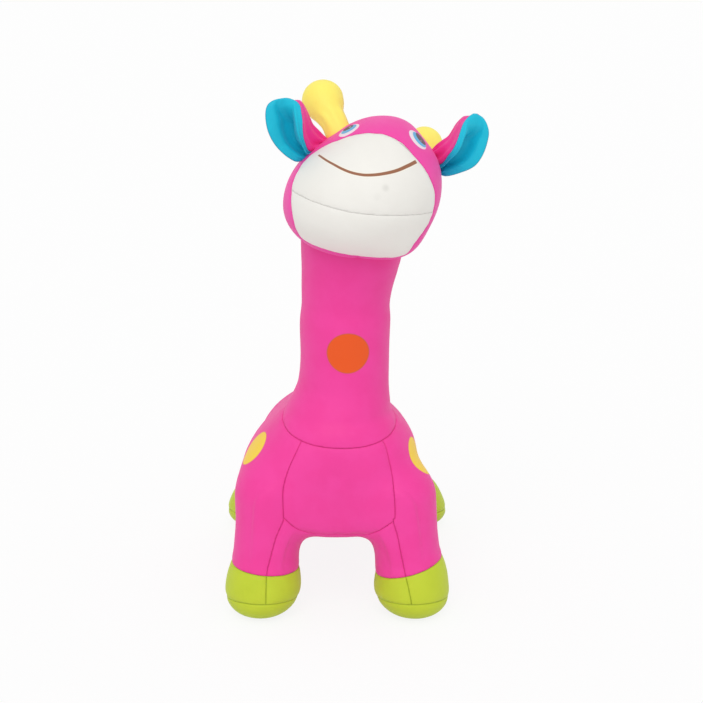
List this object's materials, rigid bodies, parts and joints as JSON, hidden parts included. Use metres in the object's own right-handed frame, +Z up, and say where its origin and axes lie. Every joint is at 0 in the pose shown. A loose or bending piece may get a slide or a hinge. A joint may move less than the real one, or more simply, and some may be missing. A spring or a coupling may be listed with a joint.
{
  "type": "plush giraffe",
  "caption": "Stuffed stretch-knit giraffe toy standing on its legs, with a long neck, upturned round muzzle, cupped ears and knobbed horns.",
  "frame": {"origin": "middle of the toy's bounding box, at the height of the surface it stands on", "axes": "+Z up; the toy faces -Y, and its left side is +X"},
  "size_m": [0.2081, 0.2595, 0.4043],
  "materials": {
    "pink_knit": "smooth stretch knit with a satin sheen",
    "white_knit": "smooth stretch knit with a satin sheen",
    "cyan_knit": "smooth stretch knit with a satin sheen",
    "yellow_knit": "smooth stretch knit with a satin sheen",
    "green_knit": "smooth stretch knit with a satin sheen",
    "beads": "packed foam micro-beads, one solid for each form"
  },
  "bodies": {
    "torso": {"torso_filling": "beads", "chest_panel": "pink_knit", "belly_panel": "pink_knit", "side_panel_left": "pink_knit", "side_panel_right": "pink_knit"},
    "neck": {"neck_filling": "beads", "neck_skin": "pink_knit"},
    "head": {"head_filling": "beads", "skull_skin": "pink_knit", "muzzle_panel": "white_knit", "chin_panel": "white_knit"},
    "ear_left": {"ear_left_back": "pink_knit", "ear_left_lining": "cyan_knit"},
    "ear_right": {"ear_right_back": "pink_knit", "ear_right_lining": "cyan_knit"},
    "horn_left": {"horn_left_skin": "yellow_knit", "horn_left_filling": "beads"},
    "horn_right": {"horn_right_skin": "yellow_knit", "horn_right_filling": "beads"},
    "leg_front_left": {"leg_front_left_filling": "beads", "leg_front_left_outer": "pink_knit", "leg_front_left_inner": "pink_knit", "leg_front_left_hoof_outer": "green_knit", "leg_front_left_hoof_inner": "green_knit", "leg_front_left_sole": "green_knit"},
    "leg_front_right": {"leg_front_right_filling": "beads", "leg_front_right_outer": "pink_knit", "leg_front_right_inner": "pink_knit", "leg_front_right_hoof_outer": "green_knit", "leg_front_right_hoof_inner": "green_knit", "leg_front_right_sole": "green_knit"},
    "leg_rear_left": {"leg_rear_left_filling": "beads", "leg_rear_left_outer": "pink_knit", "leg_rear_left_inner": "pink_knit", "leg_rear_left_hoof_outer": "green_knit", "leg_rear_left_hoof_inner": "green_knit", "leg_rear_left_sole": "green_knit"},
    "leg_rear_right": {"leg_rear_right_filling": "beads", "leg_rear_right_outer": "pink_knit", "leg_rear_right_inner": "pink_knit", "leg_rear_right_hoof_outer": "green_knit", "leg_rear_right_hoof_inner": "green_knit", "leg_rear_right_sole": "green_knit"}
  },
  "joints": [
    {"name": "neck_bend", "type": "hinge", "parent": "torso", "child": "neck", "pos_m": [-0.012, -0.051, 0.165], "axis": [1, 0, 0], "range_deg": [-12, 12], "stiffness_Nm_per_rad": 1.5, "deforming": ["neck_skin"]},
    {"name": "head_nod", "type": "hinge", "parent": "neck", "child": "head", "pos_m": [-0.0021, -0.051, 0.285], "axis": [1, 0, 0], "range_deg": [-15, 15], "stiffness_Nm_per_rad": 0.8, "deforming": ["neck_skin"]},
    {"name": "ear_left_flop", "type": "hinge", "parent": "head", "child": "ear_left", "pos_m": [0.0625, -0.058, 0.348], "axis": [0.477, 0.507, -0.718], "range_deg": [-15, 15], "stiffness_Nm_per_rad": 0.005},
    {"name": "ear_right_flop", "type": "hinge", "parent": "head", "child": "ear_right", "pos_m": [-0.027, -0.069, 0.359], "axis": [0.6734, -0.1001, 0.7325], "range_deg": [-15, 15], "stiffness_Nm_per_rad": 0.005},
    {"name": "horn_left_bend", "type": "hinge", "parent": "head", "child": "horn_left", "pos_m": [0.0424, -0.0175, 0.3515], "axis": [0.8879, -0.46, 0], "range_deg": [-8, 8], "stiffness_Nm_per_rad": 0.02},
    {"name": "horn_right_bend", "type": "hinge", "parent": "head", "child": "horn_right", "pos_m": [-0.0126, -0.0475, 0.3736], "axis": [0.9169, 0.295, 0.269], "range_deg": [-8, 8], "stiffness_Nm_per_rad": 0.02},
    {"name": "leg_front_left_swing", "type": "hinge", "parent": "torso", "child": "leg_front_left", "pos_m": [0.0385, -0.073, 0.092], "axis": [1, 0, 0], "range_deg": [-8, 8], "stiffness_Nm_per_rad": 0.6, "deforming": ["leg_front_left_outer", "leg_front_left_inner", "side_panel_left", "chest_panel", "belly_panel"]},
    {"name": "leg_front_right_swing", "type": "hinge", "parent": "torso", "child": "leg_front_right", "pos_m": [-0.0625, -0.073, 0.092], "axis": [1, 0, 0], "range_deg": [-8, 8], "stiffness_Nm_per_rad": 0.6, "deforming": ["leg_front_right_outer", "leg_front_right_inner", "side_panel_right", "chest_panel", "belly_panel"]},
    {"name": "leg_rear_left_swing", "type": "hinge", "parent": "torso", "child": "leg_rear_left", "pos_m": [0.028, 0.081, 0.086], "axis": [1, 0, 0], "range_deg": [-8, 8], "stiffness_Nm_per_rad": 0.6, "deforming": ["leg_rear_left_outer", "leg_rear_left_inner", "side_panel_left", "belly_panel"]},
    {"name": "leg_rear_right_swing", "type": "hinge", "parent": "torso", "child": "leg_rear_right", "pos_m": [-0.052, 0.081, 0.086], "axis": [1, 0, 0], "range_deg": [-8, 8], "stiffness_Nm_per_rad": 0.6, "deforming": ["leg_rear_right_outer", "leg_rear_right_inner", "side_panel_right", "belly_panel"]}
  ]
}
